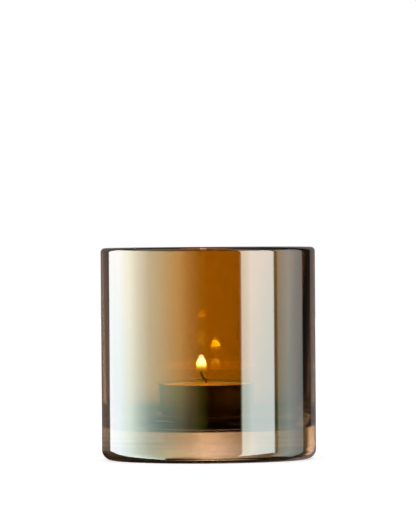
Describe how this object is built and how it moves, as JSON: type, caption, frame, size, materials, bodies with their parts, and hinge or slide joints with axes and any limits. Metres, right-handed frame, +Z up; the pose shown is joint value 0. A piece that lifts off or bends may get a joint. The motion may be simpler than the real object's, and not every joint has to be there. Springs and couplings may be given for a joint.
{
  "type": "tealight holder",
  "caption": "Heavy-based round lustre-glass tumbler that holds a tealight, with a lit tealight in its aluminium cup standing inside; the tealight and its candle lift out.",
  "frame": {"origin": "the middle of the face that the glass stands on", "axes": "+Z up along the glass's axis, towards the open mouth; the wick's bends lie in the XZ plane and lean to -X; the picture looks along +Y"},
  "size_m": [0.087, 0.087, 0.086],
  "materials": {
    "lustre_glass": "polished clear glass with a fired amber lustre that mirrors its surroundings",
    "cup_aluminium": "bright drawn aluminium sheet",
    "wax": "translucent paraffin wax, glossy where it has melted",
    "tinplate": "bright tinplate",
    "wick_cotton": "braided cotton, waxed below and charred at its end"
  },
  "bodies": {
    "holder": {"glass_body": "lustre_glass"},
    "tealight": {"tealight_cup": "cup_aluminium"},
    "candle": {"candle_wax": "wax", "wick_sustainer": "tinplate", "wick": "wick_cotton"}
  },
  "joints": [
    {"name": "tealight_lift", "type": "slide", "parent": "holder", "child": "tealight", "axis": [0, 0, 1], "range_m": [0, 0.075]},
    {"name": "candle_lift", "type": "slide", "parent": "tealight", "child": "candle", "axis": [0, 0, 1], "range_m": [0, 0.02]}
  ]
}
